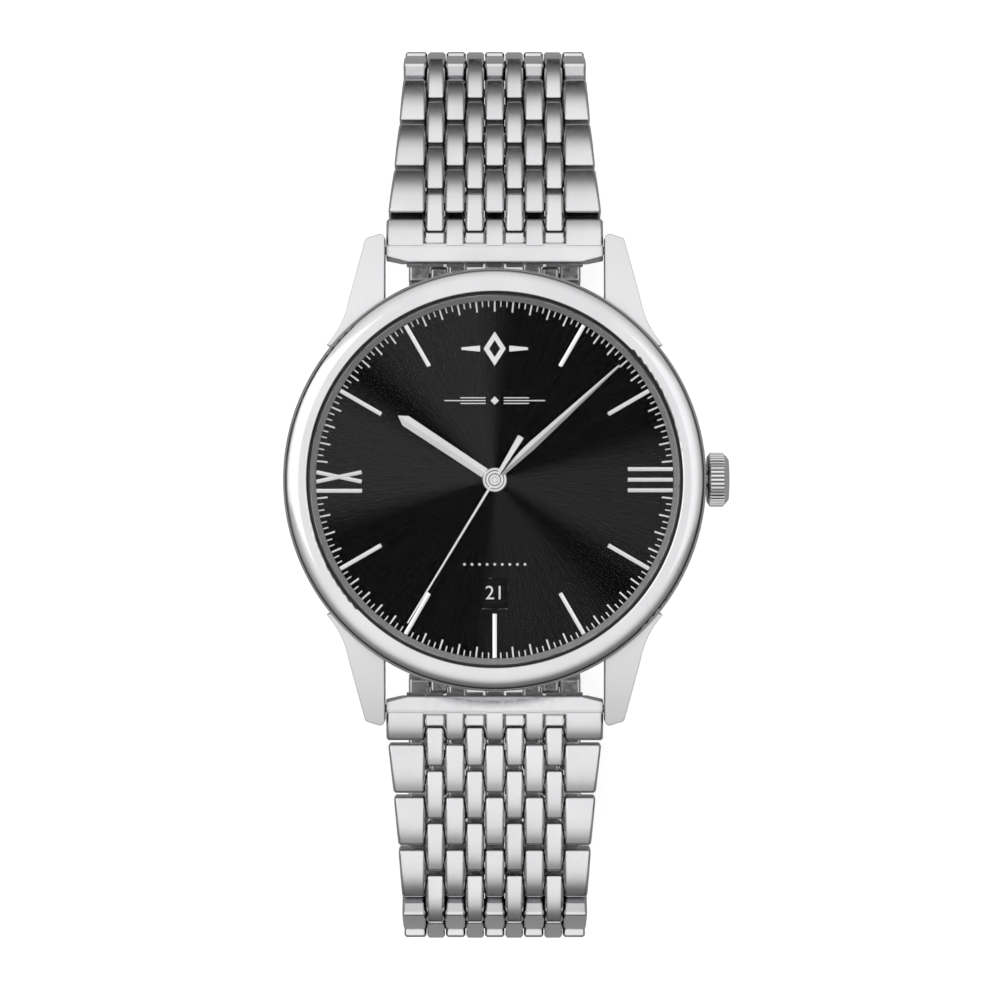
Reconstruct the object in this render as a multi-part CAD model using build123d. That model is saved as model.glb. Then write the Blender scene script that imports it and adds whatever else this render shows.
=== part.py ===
from build123d import *
import math
import os

os.makedirs("parts", exist_ok=True)

# Millimetres. +Z comes out of the dial, +Y is 12 o'clock, +X is 3 o'clock and the crown.
# z = 0 is the outer face of the case back.

# ---- case ----
CASE_R = 21.0
CASE_BOTTOM = 1.6
CASE_TOP = 7.8
HOLDER_BORE_R = 17.0
DIAL_RECESS_R = 18.5
LUG_GAP = 22.0
BAR_Y = 23.0
BAR_Z = 2.6
BAR_R = 0.70
BAR_TIP_R = 0.40
RUN = 0.05

# ---- crown ----
CROWN_Z = 4.9
CROWN_R = 2.7
CROWN_IN = 21.2
CROWN_OUT = 23.35
FLUTES = 42
STEM_R = 0.45

# ---- dial ----
DIAL_R = 18.4
DIAL_Z = 7.45
DIAL_T = 0.40
DIAL_TOP = DIAL_Z + DIAL_T
FLANGE_R = 17.75
CRYSTAL_R = 18.3
CRYSTAL_Z = 9.3
BEZEL_IN = 18.45
MARKER_END = 17.68
DATE_Y = -11.3
DATE_W = 2.5
DATE_H = 3.1

# ---- hands: degrees from 12 o'clock, counter-clockwise positive, near eight minutes past ten ----
HOUR_TURN = -303.5
MINUTE_TURN = -47.5
SECOND_TURN = -211.3

# ---- movement ----
PLATE_R = 13.0
PLATE_Z = 5.7
PLATE_TOP = 6.5
BRIDGE_Z = 2.9
BRIDGE_TOP = 3.6
ARBOR_R = 0.20
BARREL_X = -6.48
THIRD_X = 4.5
ESCAPE_Y = -4.4275
BALANCE = (3.5, -8.0)
COCK_FOOT = (9.6, -6.6)
PILLARS = [(0.0, 8.8), (9.4, 2.6), (-4.5, -8.4)]

# ---- bracelet ----
PITCH = 5.4
LINK_T = 2.8
NOSE = 1.2
TAIL = 3.9
NOSE_UNDERCUT = 0.3
TAIL_UNDERCUT = 0.6
DOME = 0.35
LINK_CHAMFER = 0.2
PIN_R = 0.40
HALF_PITCH = PITCH / 2
COL_GAP = 0.1
END_LINK_L = 4.6
END_LINK_W = 21.75
END_SPAN = 2.1
FRONT_COLUMNS = [(-1.0, 1.0), (3.0, 5.0), (-5.0, -3.0)]
STAGGERED_COLUMNS = [(1.1, 2.9), (-2.9, -1.1), (5.1, 6.9), (-6.9, -5.1)]
TILTS_12 = [27, 27.5, 29, 76, 98, 122, 144, 168, 178, 180]
TILTS_6 = [9, 10, 14.5, 66, 94, 114, 130, 146, 164, None, 180]
END_TILT_12 = 12
END_TILT_6 = 6
WIDTHS = [21.4, 20.3, 19.4, 18.7, 18.5]
RUN_WIDTH = 18.4

# ---- clasp ----
CLASP_W = 18.4
BLADE_HALF = 5.0
FOLD_Y = -12.0
HEEL_Y = 13.0
EAR_IN = 4.9


def save(name, shape):
    """Write one named piece."""
    shape.label = name
    export_step(shape, f"parts/{name}.step")


def turned(points):
    """Solid of revolution about Z through (radius, height) points."""
    outline = Polyline([(r, 0, z) for r, z in points], close=True)
    return revolve(make_face(outline), Axis.Z)


def disc(radius, low, high, at=(0, 0)):
    """Cylinder along Z between two heights."""
    return Pos(at[0], at[1], (low + high) / 2) * Cylinder(radius, high - low)


def ring(inner, outer, low, high, at=(0, 0)):
    """Flat ring between two heights."""
    return disc(outer, low, high, at) - disc(inner, low - 1, high + 1, at)


def rod(radius, x0, x1, y=0, z=0):
    """Cylinder along X between two stations."""
    return Pos((x0 + x1) / 2, y, z) * Rot(0, 90, 0) * Cylinder(radius, abs(x1 - x0))


def block(x0, x1, y0, y1, z0, z1):
    """Box from its limits."""
    centre = Pos((x0 + x1) / 2, (y0 + y1) / 2, (z0 + z1) / 2)
    return centre * Box(x1 - x0, y1 - y0, z1 - z0)


def group(solids):
    """Separate solids kept as one named piece."""
    return Compound(children=list(solids))


def polar(radius, degrees):
    """Point at a radius and an angle."""
    a = math.radians(degrees)
    return (radius * math.cos(a), radius * math.sin(a))


def gear(teeth, module, low, high, tooth_at=0, at=(0, 0)):
    """Toothed wheel with straight-flanked teeth, one of them centred on tooth_at."""
    root = module * (teeth / 2 - 1.15)
    tip = module * (teeth / 2 + 0.9)
    step = 360 / teeth
    points = []
    for i in range(teeth):
        mid = tooth_at + i * step
        points.append(polar(root, mid - 0.29 * step))
        points.append(polar(tip, mid - 0.12 * step))
        points.append(polar(tip, mid + 0.12 * step))
        points.append(polar(root, mid + 0.29 * step))
    face = make_face(Polyline(points, close=True))
    return Pos(at[0], at[1], low) * extrude(face, high - low)


def spoke_windows(inner, outer, arms, arm_width, low, high, at=(0, 0)):
    """Cutters that leave straight arms between a hub and a rim."""
    windows = ring(inner, outer, low - 0.5, high + 0.5)
    for i in range(arms):
        arm = Rot(0, 0, i * 360 / arms) * block(0, outer + 1, -arm_width / 2, arm_width / 2,
                                                low - 1, high + 1)
        windows = windows - arm
    return Pos(at[0], at[1], 0) * windows


# ------------------------------------------------------------------ case

def lug():
    """One lug, for the quadrant with positive x and y."""
    inner = LUG_GAP / 2
    outline = make_face(
        [
            Line((inner, 12.0), (inner, 24.7)),
            Line((inner, 24.7), (12.9, 24.1)),
            Line((12.9, 24.1), (14.5, 18.0)),
            ThreePointArc((14.5, 18.0), (15.25, 15.6), (16.7, 13.4)),
            Line((16.7, 13.4), (inner, 12.0)),
        ]
    )
    outline = fillet(outline.vertices().filter_by(lambda v: v.Y > 24), 0.45)
    prism = extrude(outline, 8.0)
    side = make_face(
        [
            Line((0, 11.0, 1.7), (0, 11.0, 7.45)),
            Line((0, 11.0, 7.45), (0, 13.0, 7.45)),
            ThreePointArc((0, 13.0, 7.45), (0, 19.0, 6.75), (0, 24.5, 5.5)),
            ThreePointArc((0, 24.5, 5.5), (0, 25.1, 2.8), (0, 24.0, 0.9)),
            Line((0, 24.0, 0.9), (0, 11.0, 1.7)),
        ]
    )
    return prism & extrude(side, 30.0, both=True)


def case_middle():
    """Round middle with four lugs, its bore stepped for the dial and the movement."""
    body = turned(
        [
            (HOLDER_BORE_R, CASE_BOTTOM),
            (19.3, CASE_BOTTOM),
            (20.5, 2.6),
            (CASE_R, 4.0),
            (CASE_R, 7.3),
            (20.8, CASE_TOP),
            (DIAL_RECESS_R, CASE_TOP),
            (DIAL_RECESS_R, 7.4),
            (HOLDER_BORE_R, 7.4),
        ]
    )
    corner = lug()
    body = body + corner + mirror(corner, Plane.YZ)
    body = body + mirror(corner, Plane.XZ) + mirror(mirror(corner, Plane.YZ), Plane.XZ)
    body = body - disc(HOLDER_BORE_R, 0, 7.4) - disc(DIAL_RECESS_R, 7.4, 9)
    body = body - disc(18.55, 0, CASE_BOTTOM)
    for side in (1, -1):
        body = body - rod(BAR_TIP_R + RUN, -12.1, 12.1, side * BAR_Y, BAR_Z)
    return body - rod(1.0, 15.0, 24.0, 0, CROWN_Z)


def bezel():
    """Domed ring pressed on the middle, with a step that holds the crystal."""
    outline = make_face(
        [
            Line((18.8, 0, CASE_TOP), (18.8, 0, CRYSTAL_Z)),
            Line((18.8, 0, CRYSTAL_Z), (BEZEL_IN, 0, CRYSTAL_Z)),
            Line((BEZEL_IN, 0, CRYSTAL_Z), (BEZEL_IN, 0, 9.75)),
            ThreePointArc((BEZEL_IN, 0, 9.75), (18.55, 0, 10.02), (18.85, 0, 10.12)),
            ThreePointArc((18.85, 0, 10.12), (19.75, 0, 10.03), (20.5, 0, 9.72)),
            ThreePointArc((20.5, 0, 9.72), (20.82, 0, 9.45), (20.95, 0, 9.0)),
            Line((20.95, 0, 9.0), (20.95, 0, CASE_TOP + 0.12)),
            Line((20.95, 0, CASE_TOP + 0.12), (20.8, 0, CASE_TOP)),
            Line((20.8, 0, CASE_TOP), (18.8, 0, CASE_TOP)),
        ]
    )
    return revolve(outline, Axis.Z)


def crystal():
    """Flat sapphire disc with a bevelled edge."""
    edge = CRYSTAL_R - 0.2
    return turned(
        [(0, CRYSTAL_Z), (CRYSTAL_R, CRYSTAL_Z), (CRYSTAL_R, 9.95), (edge, 10.2), (0, 10.2)]
    )


def crystal_gasket():
    return ring(CRYSTAL_R, BEZEL_IN, CRYSTAL_Z, 9.8)


def flange_ring():
    """Sloping ring between the dial and the crystal."""
    return turned(
        [
            (FLANGE_R, DIAL_TOP),
            (18.75, DIAL_TOP),
            (18.75, CRYSTAL_Z),
            (FLANGE_R + 0.45, CRYSTAL_Z),
        ]
    )


def case_back():
    """Screwed ring with six wrench notches and a seat for the window."""
    body = turned(
        [
            (12.6, 0),
            (17.9, 0),
            (18.5, 0.6),
            (18.5, CASE_BOTTOM - 0.01),
            (16.95, CASE_BOTTOM - 0.01),
            (16.95, 2.7),
            (16.0, 2.7),
            (16.0, CASE_BOTTOM),
            (12.6, CASE_BOTTOM),
        ]
    )
    for i in range(6):
        body = body - Rot(0, 0, i * 60) * block(16.9, 19.0, -1.2, 1.2, -1.0, 0.55)
    return body - ring(17.2, 17.9, 1.2, 2.0)


def case_back_glass():
    return disc(12.58, 0, 1.1)


def case_back_gasket():
    return ring(17.25, 17.85, 1.2, CASE_BOTTOM)


def movement_holder():
    """Plastic ring that carries the movement in the case."""
    body = ring(13.05, 16.9, 3.0, 7.3)
    return body - rod(0.8, 12.0, 18.0, 0, CROWN_Z)


def lug_spring_bars():
    """Both spring bars: a tube with a thinner tip at each end."""
    bars = []
    for side in (1, -1):
        bar = rod(BAR_R, -10.6, 10.6, side * BAR_Y, BAR_Z)
        bars.append(bar + rod(BAR_TIP_R, -11.9, 11.9, side * BAR_Y, BAR_Z))
    return group(bars)


# ------------------------------------------------------------------ dial and hands

def dial():
    """Plate with the centre hole and the date window."""
    plate = disc(DIAL_R, DIAL_Z, DIAL_TOP) - disc(0.95, DIAL_Z - 1, DIAL_TOP + 1)
    half_w = DATE_W / 2
    half_h = DATE_H / 2
    return plate - block(-half_w, half_w, DATE_Y - half_h, DATE_Y + half_h, 7, 8)


def baton(length, width, height, shoulder=0.75):
    """Bar with a roof ridge, along +Y from the origin; the shoulder is a share of the height."""
    half = width / 2
    low = height * shoulder
    corners = [(-half, 0, 0), (half, 0, 0), (half, 0, low), (0, 0, height), (-half, 0, low)]
    return extrude(make_face(Polyline(corners, close=True)), length, dir=(0, 1, 0))


def emblem():
    """Plain applied lozenge with two side bars."""
    plan = make_face(Polyline([(-1.1, 0), (0, 1.7), (1.1, 0), (0, -1.7)], close=True))
    hole = make_face(Polyline([(-0.55, 0), (0, 0.85), (0.55, 0), (0, -0.85)], close=True))
    lozenge = extrude(plan, 0.22) - extrude(hole, 1.0)
    pieces = [lozenge]
    for side in (1, -1):
        wing = make_face(
            Polyline(
                [(side * 1.45, 0.3), (side * 3.3, 0.12), (side * 3.3, -0.12), (side * 1.45, -0.3)],
                close=True,
            )
        )
        pieces.append(extrude(wing, 0.22))
    return [Pos(0, 13.0, DIAL_TOP) * piece for piece in pieces]


def marker(start, width=0.40):
    """One applied bar along +Y, from a radius to the end of the track."""
    return Pos(0, start, DIAL_TOP) * baton(MARKER_END - start, width, 0.24)


def applied_markers():
    """Polished batons, the two numerals and the emblem, each one glued on the dial."""
    pieces = [Rot(0, 0, -30 * hour) * marker(13.0) for hour in (1, 2, 4, 5, 7, 8, 10, 11)]
    pieces.append(Rot(0, 0, 180) * marker(13.3))
    for y in (1.05, 0.0, -1.05):
        pieces.append(Pos(0, y, 0) * Rot(0, 0, -90) * marker(13.2, 0.38))
    pieces.append(Pos(0, -1.1, 0) * Rot(0, 0, 90) * marker(13.15, 0.38))
    half_x = (MARKER_END - 13.2) / 2
    tilt = math.degrees(math.atan2(0.95, 2 * half_x))
    arm_length = math.hypot(0.95, 2 * half_x)
    cross = []
    for sign in (1, -1):
        arm = Pos(0, -arm_length / 2, 0) * baton(arm_length, 0.38, 0.24)
        cross.append(Pos(half_x - MARKER_END, 0.28, DIAL_TOP) * Rot(0, 0, 90 + sign * tilt) * arm)
    pieces.append(cross[0] + cross[1])
    return group(pieces + emblem())


def hand_blade(outline, height):
    """Ridged blade along +Y cut to a plan outline."""
    reach = max(p[1] for p in outline) + 8
    wide = 2 * max(abs(p[0]) for p in outline)
    roof = Pos(0, -8, 0) * baton(reach + 1, wide, height, 0.25)
    return roof & extrude(make_face(Polyline(outline, close=True)), height)


def hub(radius, height):
    """Disc of a hand with a bevelled upper edge."""
    body = disc(radius, 0, height)
    return chamfer(body.edges().group_by(Axis.Z)[-1], 0.09)


def hour_hand():
    outline = [(-0.50, 0.0), (-0.56, 10.6), (0.0, 11.5), (0.56, 10.6), (0.50, 0.0)]
    hand = hand_blade(outline, 0.25) + hub(1.24, 0.20)
    return Pos(0, 0, 8.10) * Rot(0, 0, HOUR_TURN) * hand - disc(0.85, 7, 9)


def minute_hand():
    """Minute hand on its tube, with the cannon pinion at the foot of the tube."""
    outline = [
        (-0.26, 0.0), (-0.43, 5.0), (-0.10, 16.7), (0.0, 16.8), (0.10, 16.7), (0.43, 5.0),
        (0.26, 0.0),
    ]
    hand = hand_blade(outline, 0.25) + hub(0.95, 0.22)
    hand = Pos(0, 0, 8.45) * Rot(0, 0, MINUTE_TURN) * hand - disc(0.45, 8, 9)
    tube = gear(12, 0.1, 6.6, 6.9, tooth_at=60) + ring(0.24, 0.45, 6.6, 8.66)
    return group([hand, tube - disc(0.24, 6, 9)])


def second_hand():
    """Thin hand with a widening counterweight and a capped hub."""
    outline = [
        (-0.32, -5.0), (-0.14, -0.4), (-0.12, 0.4), (-0.07, 16.6), (0.07, 16.6), (0.12, 0.4),
        (0.14, -0.4), (0.32, -5.0),
    ]
    hand = extrude(make_face(Polyline(outline, close=True)), 0.12)
    hand = hand + hub(0.62, 0.20) - disc(0.36, 0.14, 1) + disc(0.2, 0.1, 0.28)
    hand = Rot(0, 0, SECOND_TURN) * hand - disc(ARBOR_R, -1, 0.1)
    return Pos(0, 0, 8.80) * hand


# ------------------------------------------------------------------ movement

def pivot_holes(radius, low, high):
    """Drilled holes for the arbors that turn between the plate and the bridge."""
    holes = disc(radius, low, high, (THIRD_X, 0)) + disc(radius, low, high, (0, ESCAPE_Y))
    return holes + disc(radius, low, high, BALANCE)


def main_plate():
    """Brass plate with the pivot holes and the date disc's ledge."""
    plate = disc(PLATE_R, PLATE_Z, PLATE_TOP) + ring(11.9, PLATE_R, PLATE_TOP - 0.1, 6.9)
    plate = plate - pivot_holes(0.19, PLATE_Z - 0.1, PLATE_Z + 0.5)
    plate = plate - disc(0.5, 5, 8) - disc(0.64, 5, PLATE_Z + 0.5, (BARREL_X, 0))
    post = disc(0.16, PLATE_TOP - 0.1, 7.25, polar(2.4, 60))
    return plate + post


def train_bridge():
    """Bridge on three pillars, cut away round the balance, with the rotor's post."""
    bridge = disc(10.2, BRIDGE_Z, BRIDGE_TOP) - disc(4.6, BRIDGE_Z - 1, BRIDGE_TOP + 1, BALANCE)
    bridge = bridge - block(4.6, 12, -12, -4.2, BRIDGE_Z - 1, BRIDGE_TOP + 1)
    for spot in PILLARS:
        bridge = bridge + disc(0.8, BRIDGE_Z, PLATE_Z, spot)
    bridge = bridge + disc(1.0, 1.75, BRIDGE_Z + 0.1)
    bridge = bridge - disc(ARBOR_R + 0.04, 3.05, 4)
    for spot in ((THIRD_X, 0), (0, ESCAPE_Y)):
        bridge = bridge - disc(0.19, 3.1, 4, spot)
    return bridge - disc(0.64, 3.0, 4, (BARREL_X, 0))


def balance_cock():
    """Single-footed cock over the balance."""
    dx = COCK_FOOT[0] - BALANCE[0]
    dy = COCK_FOOT[1] - BALANCE[1]
    length = math.hypot(dx, dy)
    turn = math.degrees(math.atan2(dy, dx))
    arm = Pos(BALANCE[0], BALANCE[1], 0) * Rot(0, 0, turn) * block(
        0, length, -0.85, 0.85, BRIDGE_Z + 0.1, BRIDGE_TOP)
    cock = arm + disc(1.15, BRIDGE_Z + 0.1, BRIDGE_TOP, BALANCE)
    cock = cock + disc(1.0, BRIDGE_Z + 0.1, PLATE_Z, COCK_FOOT)
    return cock - disc(0.19, 3.2, 4, BALANCE)


def mainspring_barrel():
    """Closed drum with a toothed rim and its arbor."""
    at = (BARREL_X, 0)
    drum = disc(5.0, 3.95, 5.08, at) + gear(60, 0.18, 5.05, 5.25, tooth_at=3, at=at)
    return drum + disc(0.6, 3.1, 6.1, at) + disc(1.4, 3.7, 5.5, at)


def centre_wheel():
    wheel = gear(64, 0.125, 5.40, 5.60, tooth_at=0)
    wheel = wheel - spoke_windows(1.5, 3.3, 4, 0.5, 5.40, 5.60)
    wheel = wheel + gear(12, 0.18, 5.02, 5.45, tooth_at=180) + disc(0.45, 5.5, 6.45)
    return wheel - disc(ARBOR_R + 0.04, 4, 8)


def third_wheel():
    at = (THIRD_X, 0)
    wheel = gear(60, 0.13235, 4.55, 4.75, tooth_at=3, at=at)
    wheel = wheel - spoke_windows(0.9, 3.3, 4, 0.45, 4.55, 4.75, at)
    pinion = gear(8, 0.125, 5.33, 5.66, tooth_at=180 + 22.5, at=at)
    return wheel + pinion + disc(0.25, 3.7, 5.6, at) + disc(0.15, 3.2, 6.1, at)


def fourth_wheel():
    """Fourth wheel with its pinion; its long arbor carries the second hand."""
    wheel = gear(70, 0.115, 3.68, 3.85, tooth_at=-90)
    wheel = wheel - spoke_windows(0.9, 3.4, 4, 0.4, 3.68, 3.85)
    return wheel + gear(8, 0.13235, 4.45, 4.85, tooth_at=0) + disc(ARBOR_R, 3.1, 8.9)


def escape_wheel():
    """Fifteen hooked teeth on a light wheel."""
    points = []
    for i in range(15):
        mid = i * 24
        points.append(polar(1.45, mid - 12))
        points.append(polar(1.95, mid - 2))
        points.append(polar(2.0, mid))
        points.append(polar(1.45, mid + 2))
    at = (0, ESCAPE_Y)
    rim = Pos(0, 0, 4.10) * extrude(make_face(Polyline(points, close=True)), 0.15)
    rim = rim - spoke_windows(0.5, 1.15, 4, 0.25, 4.10, 4.25)
    rim = Pos(at[0], at[1], 0) * rim
    pinion = gear(7, 0.115, 3.66, 3.90, tooth_at=90 + 180 / 7, at=at)
    return rim + pinion + disc(0.18, 3.7, 5.6, at) + disc(0.14, 3.2, 6.1, at)


def balance_wheel():
    rim = ring(3.25, 3.7, 4.35, 4.75)
    arm = block(-3.4, 3.4, -0.22, 0.22, 4.45, 4.65)
    wheel = rim + arm + disc(0.5, 4.3, 4.8) + disc(0.25, 3.7, 5.6) + disc(0.15, 3.3, 6.1)
    for i in range(8):
        wheel = wheel + Rot(0, 0, 22.5 + 45 * i) * rod(0.14, 3.5, 3.85, 0, 4.55)
    return Pos(BALANCE[0], BALANCE[1], 0) * wheel


def hairspring():
    """Flat spiral ribbon round the balance staff."""
    turns = 5
    steps = 24 * turns
    inner_side = []
    outer_side = []
    for i in range(steps + 1):
        angle = 15 * i
        radius = 0.45 + 1.5 * i / steps
        inner_side.append(polar(radius - 0.035, angle))
        outer_side.append(polar(radius + 0.035, angle))
    face = make_face(Polyline(inner_side + outer_side[::-1], close=True))
    coil = Pos(0, 0, 3.90) * extrude(face, 0.14)
    collet = ring(0.25, 0.46, 3.86, 4.06)
    return Pos(BALANCE[0], BALANCE[1], 0) * (coil + collet)


def rotor():
    """Half-disc winding weight turning on the bridge's post."""
    sector = disc(12.4, 1.8, 2.1) + ring(10.8, 12.4, 2.0, 2.8)
    sector = sector - block(-13, 13, 0.0, 13, 1, 4)
    windows = ring(4.2, 9.6, 1, 4) - block(-13, 13, -1.2, 13, 0, 5)
    windows = windows - block(-0.9, 0.9, -13, 0, 0, 5)
    hub = disc(2.4, 1.8, 2.3)
    return Rot(0, 0, 35) * (sector - windows + hub) - disc(1.0 + RUN, 1, 4)


def date_disc():
    """Ring with thirty-one inner teeth, under the dial."""
    body = disc(12.85, 6.95, 7.2)
    return body - gear(31, 0.60, 6, 8, tooth_at=0)


def hour_wheel():
    wheel = gear(40, 0.096, 6.98, 7.15, tooth_at=60) + disc(0.85, 6.98, 8.25)
    return wheel - disc(0.45 + RUN, 6, 9)


def minute_wheel():
    at = polar(2.4, 60)
    wheel = gear(36, 0.1, 6.65, 6.85, tooth_at=240 + 5, at=at)
    wheel = wheel + gear(10, 0.096, 6.85, 7.22, tooth_at=240 + 18, at=at)
    return wheel - disc(0.2, 6, 8, at)


# ------------------------------------------------------------------ crown

def crown():
    """Fluted knob with smooth bevelled ends and a short neck."""
    length = CROWN_OUT - CROWN_IN
    step = 360 / FLUTES
    points = []
    for i in range(FLUTES):
        mid = i * step
        points.append(polar(CROWN_R - 0.16, mid - 0.5 * step))
        points.append(polar(CROWN_R, mid - 0.2 * step))
        points.append(polar(CROWN_R, mid + 0.2 * step))
    knob = extrude(make_face(Polyline(points, close=True)), length)
    knob = knob & turned(
        [
            (0, 0),
            (2.3, 0),
            (CROWN_R, 0.3),
            (CROWN_R, length - 0.55),
            (2.05, length),
            (0, length),
        ]
    )
    knob = knob + disc(0.92, -2.2, 0.1) - disc(STEM_R, -3, 1.2)
    return Pos(CROWN_IN, 0, CROWN_Z) * Rot(0, 90, 0) * knob


def winding_stem():
    """Stem with the square for the clutch and the groove for the setting lever."""
    stem = rod(STEM_R, 9.4, CROWN_IN + 1.2, 0, CROWN_Z)
    stem = stem - ring(0.28, 1.0, 0, 0.5).moved(Location((12.2, 0, CROWN_Z), (0, 90, 0)))
    square = block(9.0, 11.6, -0.33, 0.33, CROWN_Z - 0.33, CROWN_Z + 0.33)
    return stem - rod(1.0, 9.0, 11.5, 0, CROWN_Z) + square


# ------------------------------------------------------------------ bracelet

def link(x0, x1, front_hole, rear_hole, nose=NOSE, span=HALF_PITCH, narrowing=0.0):
    """One link piece between two stations across the bracelet, with two pin holes.

    Its own frame has the front pin at the origin, +Y along the bracelet, +Z outward.
    The narrowing is how much its far end draws in from x1.
    """
    half = LINK_T / 2
    shoulder = half - DOME
    tail = span + TAIL - HALF_PITCH
    outline = make_face(
        [
            Line((0, NOSE_UNDERCUT - nose, -half), (0, tail - TAIL_UNDERCUT, -half)),
            Line((0, tail - TAIL_UNDERCUT, -half), (0, tail, shoulder)),
            ThreePointArc((0, tail, shoulder), (0, (tail - nose) / 2, half), (0, -nose, shoulder)),
            Line((0, -nose, shoulder), (0, NOSE_UNDERCUT - nose, -half)),
        ]
    )
    outline = fillet(outline.vertices().filter_by(lambda v: v.Z > 0), 0.3)
    outline = fillet(outline.vertices().filter_by(lambda v: v.Z < 0), 0.35)
    body = Pos(x0, 0, 0) * extrude(outline, x1 - x0, dir=(1, 0, 0))
    if narrowing:
        far = x1 + 1
        waste = Polyline(
            [(x1, -nose), (far, -nose), (far, tail), (x1 - narrowing, tail)], close=True
        )
        body = body - Pos(0, 0, -LINK_T) * extrude(make_face(waste), 2 * LINK_T)
    sides = body.faces().filter_by(lambda f: abs(f.normal_at().X) > 0.9)
    body = chamfer(sides.edges(), LINK_CHAMFER)
    body = body - rod(front_hole, x0 - 1, x1 + 1)
    return body - rod(rear_hole, x0 - 1, x1 + 1, span)


FRONT_LINKS = [link(a, b, PIN_R, PIN_R) for a, b in FRONT_COLUMNS]
STAGGERED_LINKS = [link(a, b, PIN_R, PIN_R + RUN) for a, b in STAGGERED_COLUMNS]


def place(shape, point, tilt, side):
    """Move a piece from its own frame to its place in the closed bracelet."""
    placed = Pos(0, point[0], point[1]) * Rot(-tilt, 0, 0) * shape
    return placed if side == 12 else Rot(0, 0, 180) * placed


def bracelet_row(point, tilt, width, next_width, side, last):
    """Five front pieces, the staggered pieces behind them and the two pins."""
    half = width / 2
    narrowing = (width - next_width) / 2
    outer = link(6.9 + COL_GAP, half, PIN_R, PIN_R, narrowing=narrowing)
    solids = list(FRONT_LINKS) + [outer, mirror(outer, Plane.YZ)]
    staggered = STAGGERED_LINKS[2:] if last else STAGGERED_LINKS
    solids += [Pos(0, HALF_PITCH, 0) * piece for piece in staggered]
    for y in (0, HALF_PITCH):
        reach = half - 0.12 - narrowing * (NOSE + y) / (NOSE + TAIL)
        solids.append(rod(PIN_R, -reach, reach, y))
    return group([place(solid, point, tilt, side) for solid in solids])


def end_bar():
    """Bar that turns on the lug's spring bar, its case side sloped and scalloped."""
    half = END_LINK_W / 2
    section = make_face(
        Polyline(
            [
                (0, -1.25, -0.6),
                (0, 0.45, -1.3),
                (0, 0.45, 1.3),
                (0, -0.1, 1.4),
                (0, -1.4, 1.0),
                (0, -1.4, 0.5),
            ],
            close=True,
        )
    )
    bar = Pos(-half, 0, 0) * extrude(section, END_LINK_W, dir=(1, 0, 0))
    corner = make_face(
        Polyline([(half - 2.6, -1.5), (half + 0.1, -1.5), (half + 0.1, -0.85)], close=True)
    )
    corner = Pos(0, 0, -2) * extrude(corner, 4)
    bar = bar - corner - mirror(corner, Plane.YZ)
    for i in range(9):
        x = 2 * (i - 4)
        bar = bar + rod(0.5, x - 0.85, x + 0.85, -1.1, -0.35)
    return bar


def end_link(tilt, side):
    """End bar with its lobes, the first staggered pieces and their pin."""
    half = END_LINK_W / 2
    reach = END_LINK_L - 1.5
    pin_y = END_LINK_L - END_SPAN
    bar = end_bar()
    profile = make_face(
        [
            Line((0, 0.2, -1.3), (0, reach, -1.3)),
            Line((0, reach, -1.3), (0, reach, 0.9)),
            ThreePointArc((0, reach, 0.9), (0, 1.7, 1.3), (0, 0.2, 1.4)),
            Line((0, 0.2, 1.4), (0, 0.2, -1.3)),
        ]
    )
    profile = fillet(profile.vertices().filter_by(lambda v: v.Y > 1), 0.3)
    for a, b in FRONT_COLUMNS + [(7.0, half), (-half, -7.0)]:
        lobe = Pos(a, 0, 0) * extrude(profile, b - a, dir=(1, 0, 0))
        bar = bar + chamfer(lobe.faces().filter_by(Axis.X).edges(), LINK_CHAMFER)
    for a, b in STAGGERED_COLUMNS:
        bar = bar + block(a, b, 0.2, pin_y - 0.95, -1.2, 1.25)
    bar = bar - rod(BAR_R + RUN, -half - 1, half + 1)
    solids = [bar - rod(PIN_R, -half - 1, half + 1, pin_y)]
    for a, b in STAGGERED_COLUMNS:
        solids.append(Pos(0, pin_y, 0) * link(a, b, PIN_R, PIN_R + RUN, 0.85, END_SPAN))
    solids.append(rod(PIN_R, -half + 0.15, half - 0.15, pin_y))
    return group([place(solid, (BAR_Y, BAR_Z), tilt, side) for solid in solids])


def step_along(point, tilt, length):
    """Next pin position, a length along a tilted piece."""
    a = math.radians(tilt)
    return (point[0] + length * math.cos(a), point[1] - length * math.sin(a))


def pin_points(end_tilt, tilts):
    """Pin positions from the end link's rear pin to the last one."""
    points = [step_along((BAR_Y, BAR_Z), end_tilt, END_LINK_L)]
    for tilt in tilts:
        points.append(step_along(points[-1], tilt, PITCH))
    return points


def levelled(end_tilt, tilts, height):
    """Fill in the one open tilt so that the chain ends at a height."""
    gap = tilts.index(None)
    start = pin_points(end_tilt, tilts[:gap])[-1]
    filled = list(tilts)
    filled[gap] = 180 - math.degrees(math.asin((start[1] - height) / PITCH))
    return filled


def save_chain(side, end_tilt, tilts):
    """Write the end link and every row of one side; return the last pin."""
    save(f"end_link_{side}", end_link(end_tilt, side))
    points = pin_points(end_tilt, tilts)
    widths = WIDTHS + [RUN_WIDTH] * len(tilts)
    for i, tilt in enumerate(tilts):
        last = i == len(tilts) - 1
        row = bracelet_row(points[i], tilt, widths[i], widths[i + 1], side, last)
        save(f"bracelet_row_{side}_{i + 1:02d}", row)
    return points[-1]


# ------------------------------------------------------------------ clasp

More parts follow.
